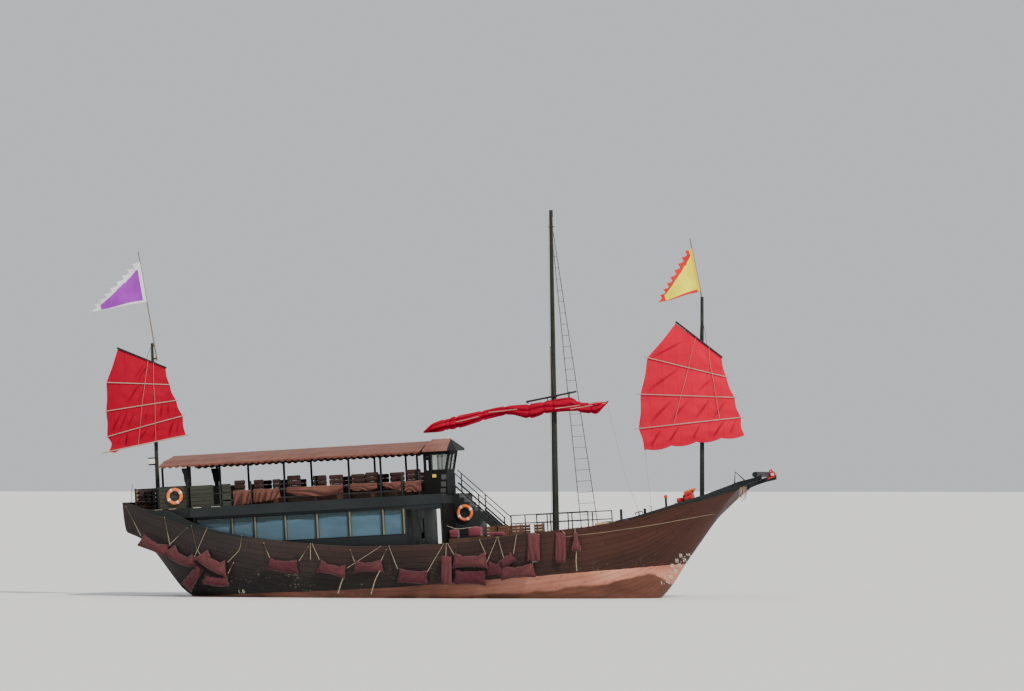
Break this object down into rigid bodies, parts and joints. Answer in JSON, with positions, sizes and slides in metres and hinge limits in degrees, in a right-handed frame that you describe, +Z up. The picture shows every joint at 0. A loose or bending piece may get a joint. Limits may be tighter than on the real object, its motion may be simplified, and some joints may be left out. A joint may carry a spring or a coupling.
{
  "type": "chinese junk ship",
  "caption": "Wooden junk with raised bow wings, a long saloon under an open upper deck with an awning, a wheelhouse, masts with battened sails, cloth fenders along its sides, and a rudder and propeller.",
  "frame": {"origin": "on the centreline at the water surface, amidships, under the forward edge of the wheelhouse's aft wall", "axes": "+X to the bow, +Y to port, +Z up; the decks rise towards the bow by the 3.2 degree trim"},
  "size_m": [29.663, 7.3852, 18.497],
  "materials": {
    "awningCloth": "matte",
    "battenWood": "matte",
    "bottomPaint": "matte",
    "bronze": "satin",
    "buoyOrange": "gloss",
    "cushionCloth": "matte",
    "darkGreen": "satin",
    "deckWood": "matte",
    "fenderCloth": "matte",
    "glass": "clear",
    "hullWood": "satin",
    "purpleCloth": "matte",
    "railMetal": "satin",
    "rope": "matte",
    "sailCloth": "matte",
    "sparBlack": "satin",
    "yellowCloth": "matte"
  },
  "bodies": {
    "boat": {"hull": "hullWood", "keel": "bottomPaint", "bulwark_starboard": "hullWood", "bulwark_port": "hullWood", "bow_bulwark": "hullWood", "poop_bulwark": "hullWood", "bow_wing_starboard": "darkGreen", "bow_wing_port": "darkGreen", "bow_crossbeam": "darkGreen", "windlass_cheek_starboard": "darkGreen", "windlass_cheek_port": "darkGreen", "saloon_side_starboard": "darkGreen", "saloon_glass_starboard": "glass", "saloon_side_port": "darkGreen", "saloon_glass_port": "glass", "saloon_front": "darkGreen", "saloon_seats": "cushionCloth", "upper_deck": "darkGreen", "front_wall": "darkGreen", "stairs": "railMetal", "rail_starboard": "railMetal", "rail_port": "railMetal", "foredeck_rail_starboard": "railMetal", "foredeck_rail_port": "railMetal", "awning_posts_starboard": "darkGreen", "awning_posts_port": "darkGreen", "awning_frame": "darkGreen", "awning": "awningCloth", "wheelhouse": "darkGreen", "wheelhouse_glass": "glass", "wheelhouse_roof": "darkGreen", "helm_console": "deckWood", "seats_starboard": "cushionCloth", "seat_backs_starboard": "cushionCloth", "seats_port": "cushionCloth", "seat_backs_port": "cushionCloth", "stern_bench": "cushionCloth", "lifebuoy_starboard": "buoyOrange", "lifebuoy_port": "buoyOrange", "lifebuoy_stairs": "buoyOrange", "main_mast": "darkGreen", "fore_mast": "darkGreen", "mizzen_mast": "darkGreen", "mizzen_flag": "purpleCloth", "fore_flag": "yellowCloth", "shroud_port": "rope", "fenders_starboard": "fenderCloth", "fenders_port": "fenderCloth"},
    "rudder": {"rudder": "bottomPaint"},
    "propeller": {"propeller": "bronze"},
    "saloon_door": {"saloon_door": "deckWood"},
    "wheelhouse_door": {"wheelhouse_door": "darkGreen"},
    "steering_wheel": {"steering_wheel": "deckWood"},
    "windlass_drum": {"windlass_drum": "deckWood"},
    "fore_sail": {"fore_sail": "sailCloth", "fore_spars": "battenWood"},
    "main_sail": {"main_sail": "sailCloth", "main_spars": "sparBlack"},
    "mizzen_sail": {"mizzen_sail": "sailCloth", "mizzen_spars": "battenWood"}
  },
  "joints": [
    {"name": "rudder_swing", "type": "hinge", "parent": "boat", "child": "rudder", "pos_m": [-10.30595, 0, -1.07697], "axis": [-0.0558, 0, 0.9984], "range_deg": [-35, 35]},
    {"name": "propeller_spin", "type": "hinge", "parent": "boat", "child": "propeller", "pos_m": [-9.51048, 0, -1.15269], "axis": [0.9984, 0, 0.0558], "continuous": true},
    {"name": "steering_wheel_turn", "type": "hinge", "parent": "boat", "child": "steering_wheel", "pos_m": [-0.01902, -1.6, 5.17701], "axis": [0.9984, 0, 0.0558], "range_deg": [-525, 525]},
    {"name": "windlass_turn", "type": "hinge", "parent": "boat", "child": "windlass_drum", "pos_m": [9.52467, 0, 3.40699], "axis": [0, 1, 0], "continuous": true},
    {"name": "saloon_door_swing", "type": "hinge", "parent": "boat", "child": "saloon_door", "pos_m": [-1.07809, -0.437, 2.44363], "axis": [0.0558, 0, -0.9984], "range_deg": [0, 95]},
    {"name": "wheelhouse_door_swing", "type": "hinge", "parent": "boat", "child": "wheelhouse_door", "pos_m": [-0.54987, -1.203, 5.17738], "axis": [0.0558, 0, -0.9984], "range_deg": [0, 95]},
    {"name": "fore_sail_swing", "type": "hinge", "parent": "boat", "child": "fore_sail", "pos_m": [11.01382, 0, 3.06959], "axis": [0.0002, 0, 1], "range_deg": [-50, 50]},
    {"name": "main_sail_swing", "type": "hinge", "parent": "boat", "child": "main_sail", "pos_m": [4.72596, 0, 1.81664], "axis": [-0.0163, 0, 0.9999], "range_deg": [-50, 50]},
    {"name": "mizzen_sail_swing", "type": "hinge", "parent": "boat", "child": "mizzen_sail", "pos_m": [-12.79422, 0, 3.64148], "axis": [-0.0433, 0, 0.9991], "range_deg": [-50, 50]}
  ],
  "couplings": [
    {"joint": "steering_wheel_turn", "follows": "rudder_swing", "ratio": 15}
  ]
}
